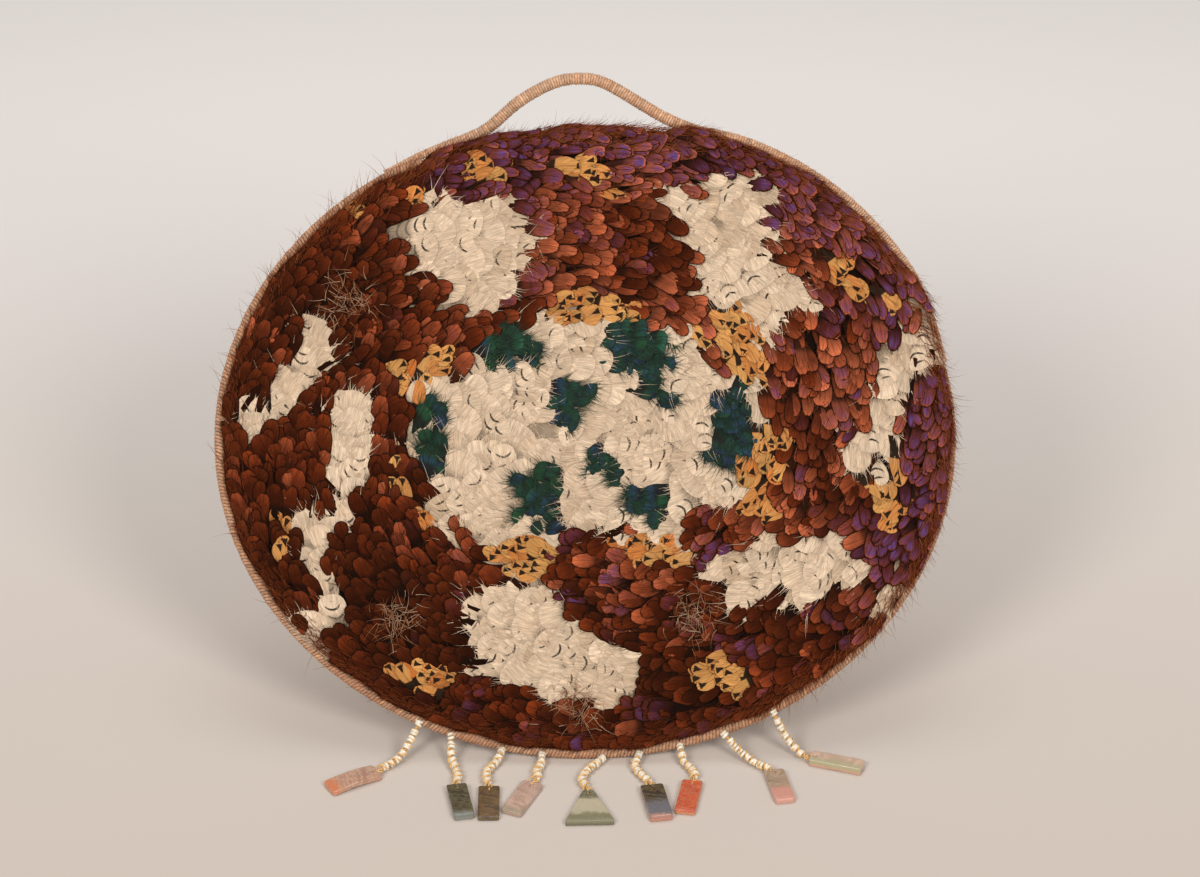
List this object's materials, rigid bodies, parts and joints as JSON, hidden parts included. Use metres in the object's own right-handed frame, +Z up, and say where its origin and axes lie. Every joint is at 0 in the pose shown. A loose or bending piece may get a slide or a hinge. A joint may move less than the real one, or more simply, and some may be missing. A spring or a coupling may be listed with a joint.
{
  "type": "feathered basketry tray",
  "caption": "Oval coiled basketry tray faced with patterned feathers, with a handle loop at the top and beaded strands with shell pendants along its lower rim.",
  "frame": {"origin": "centre of the flat back of the start knot, at the middle of the tray's back, where it leans on its stand", "axes": "+Z up; -Y the way the feathered face looks, out of the page; +X to the right seen from the front. The face leans back 32.5 degrees from upright and the lower rim is at the level of the surface it stands on"},
  "size_m": [0.5194, 0.3408, 0.4084],
  "materials": {
    "coil": "coiled plant fibre, stitched in rows, satin",
    "wrapped_coil": "split root wrapped closely round the coil, light tan, satin",
    "chestnut_feather": "chestnut feathers with dark fringes and a purple sheen",
    "white_feather": "cream feathers with black and grey marks",
    "gold_feather": "golden tan feathers with black marks",
    "green_feather": "dark green and blue iridescent feathers",
    "shell_beads": "white shell disc beads with golden cord",
    "pink_shell": "polished pink and tan shell",
    "dark_shell": "polished dark grey-green shell",
    "silver_shell": "polished silver-green shell",
    "coral_shell": "polished coral-orange shell"
  },
  "bodies": {
    "tray": {"start_knot": "coil", "coil_rows_1": "coil", "coil_rows_2": "coil", "coil_rows_3": "coil", "coil_rows_4": "coil", "coil_rows_5": "coil", "coil_rows_6": "coil", "rim_coil": "wrapped_coil", "handle_loop": "wrapped_coil", "feathers_chestnut": "chestnut_feather", "feathers_white_bottom": "white_feather", "feathers_white_centre": "white_feather", "feathers_white_left": "white_feather", "feathers_white_left_edge": "white_feather", "feathers_white_left_high": "white_feather", "feathers_white_left_low": "white_feather", "feathers_white_lower_right": "white_feather", "feathers_white_right": "white_feather", "feathers_white_right_low": "white_feather", "feathers_white_upper_left": "white_feather", "feathers_white_upper_right": "white_feather", "feathers_gold_below": "gold_feather", "feathers_gold_below_left": "gold_feather", "feathers_gold_bottom_left": "gold_feather", "feathers_gold_bottom_right": "gold_feather", "feathers_gold_inner_left": "gold_feather", "feathers_gold_inner_right": "gold_feather", "feathers_gold_inner_top": "gold_feather", "feathers_gold_left_edge": "gold_feather", "feathers_gold_lower_left": "gold_feather", "feathers_gold_right": "gold_feather", "feathers_gold_right_edge": "gold_feather", "feathers_gold_top": "gold_feather", "feathers_gold_upper_right": "gold_feather", "feathers_green_left": "green_feather", "feathers_green_lower_left": "green_feather", "feathers_green_lower_middle": "green_feather", "feathers_green_lower_right": "green_feather", "feathers_green_middle": "green_feather", "feathers_green_right": "green_feather", "feathers_green_top_left": "green_feather", "feathers_green_top_right": "green_feather"},
    "strand_1": {"strand_1": "shell_beads"},
    "pendant_1": {"pendant_1": "pink_shell"},
    "strand_2": {"strand_2": "shell_beads"},
    "pendant_2": {"pendant_2": "dark_shell"},
    "strand_3": {"strand_3": "shell_beads"},
    "pendant_3": {"pendant_3": "dark_shell"},
    "strand_4": {"strand_4": "shell_beads"},
    "pendant_4": {"pendant_4": "pink_shell"},
    "strand_5": {"strand_5": "shell_beads"},
    "pendant_5": {"pendant_5": "silver_shell"},
    "strand_6": {"strand_6": "shell_beads"},
    "pendant_6": {"pendant_6": "dark_shell"},
    "strand_7": {"strand_7": "shell_beads"},
    "pendant_7": {"pendant_7": "coral_shell"},
    "strand_8": {"strand_8": "shell_beads"},
    "pendant_8": {"pendant_8": "pink_shell"},
    "strand_9": {"strand_9": "shell_beads"},
    "pendant_9": {"pendant_9": "pink_shell"}
  },
  "joints": [
    {"name": "strand_1_swing", "type": "hinge", "parent": "tray", "child": "strand_1", "pos_m": [-0.117, -0.1157, -0.16607], "axis": [-0.6984, 0.7157, 0], "range_deg": [0, 60]},
    {"name": "pendant_1_swing", "type": "hinge", "parent": "strand_1", "child": "pendant_1", "pos_m": [-0.146, -0.144, -0.18532], "axis": [-0.5299, 0.848, 0], "range_deg": [0, 45]},
    {"name": "strand_2_swing", "type": "hinge", "parent": "tray", "child": "strand_2", "pos_m": [-0.093, -0.1207, -0.17377], "axis": [-0.9917, -0.1289, 0], "range_deg": [0, 60]},
    {"name": "pendant_2_swing", "type": "hinge", "parent": "strand_2", "child": "pendant_2", "pos_m": [-0.0875, -0.163, -0.18477], "axis": [-0.9816, -0.1908, 0], "range_deg": [0, 45]},
    {"name": "strand_3_swing", "type": "hinge", "parent": "tray", "child": "strand_3", "pos_m": [-0.059, -0.1256, -0.18137], "axis": [-0.9856, 0.169, 0], "range_deg": [0, 60]},
    {"name": "pendant_3_swing", "type": "hinge", "parent": "strand_3", "child": "pendant_3", "pos_m": [-0.0655, -0.1635, -0.18547], "axis": [-0.9998, -0.0174, 0], "range_deg": [0, 45]},
    {"name": "strand_4_swing", "type": "hinge", "parent": "tray", "child": "strand_4", "pos_m": [-0.03, -0.1294, -0.18307], "axis": [-0.9759, 0.218, 0], "range_deg": [0, 60]},
    {"name": "pendant_4_swing", "type": "hinge", "parent": "strand_4", "child": "pendant_4", "pos_m": [-0.0365, -0.1585, -0.18547], "axis": [-0.9239, 0.3827, 0], "range_deg": [0, 45]},
    {"name": "strand_5_swing", "type": "hinge", "parent": "tray", "child": "strand_5", "pos_m": [0.01, -0.1306, -0.18387], "axis": [-0.9815, 0.1917, 0], "range_deg": [0, 60]},
    {"name": "pendant_5_swing", "type": "hinge", "parent": "strand_5", "child": "pendant_5", "pos_m": [0.0025, -0.169, -0.18507], "axis": [-0.9994, -0.0349, 0], "range_deg": [0, 45]},
    {"name": "strand_6_swing", "type": "hinge", "parent": "tray", "child": "strand_6", "pos_m": [0.0365, -0.129, -0.18257], "axis": [-0.963, -0.2696, 0], "range_deg": [0, 60]},
    {"name": "pendant_6_swing", "type": "hinge", "parent": "strand_6", "child": "pendant_6", "pos_m": [0.0463, -0.164, -0.18457], "axis": [-0.9848, -0.1736, 0], "range_deg": [0, 45]},
    {"name": "strand_7_swing", "type": "hinge", "parent": "tray", "child": "strand_7", "pos_m": [0.067, -0.1246, -0.17977], "axis": [-0.9793, -0.2025, 0], "range_deg": [0, 60]},
    {"name": "pendant_7_swing", "type": "hinge", "parent": "strand_7", "child": "pendant_7", "pos_m": [0.0737, -0.157, -0.18527], "axis": [-0.9848, 0.1736, 0], "range_deg": [0, 45]},
    {"name": "strand_8_swing", "type": "hinge", "parent": "tray", "child": "strand_8", "pos_m": [0.099, -0.1196, -0.17187], "axis": [-0.6063, -0.7952, 0], "range_deg": [0, 60]},
    {"name": "pendant_8_swing", "type": "hinge", "parent": "strand_8", "child": "pendant_8", "pos_m": [0.131, -0.144, -0.18527], "axis": [-0.9833, -0.1822, 0], "range_deg": [0, 45]},
    {"name": "strand_9_swing", "type": "hinge", "parent": "tray", "child": "strand_9", "pos_m": [0.1325, -0.1117, -0.15967], "axis": [-0.4862, -0.8739, 0], "range_deg": [0, 60]},
    {"name": "pendant_9_swing", "type": "hinge", "parent": "strand_9", "child": "pendant_9", "pos_m": [0.16, -0.127, -0.18457], "axis": [-0.3256, -0.9455, 0], "range_deg": [0, 45]}
  ]
}
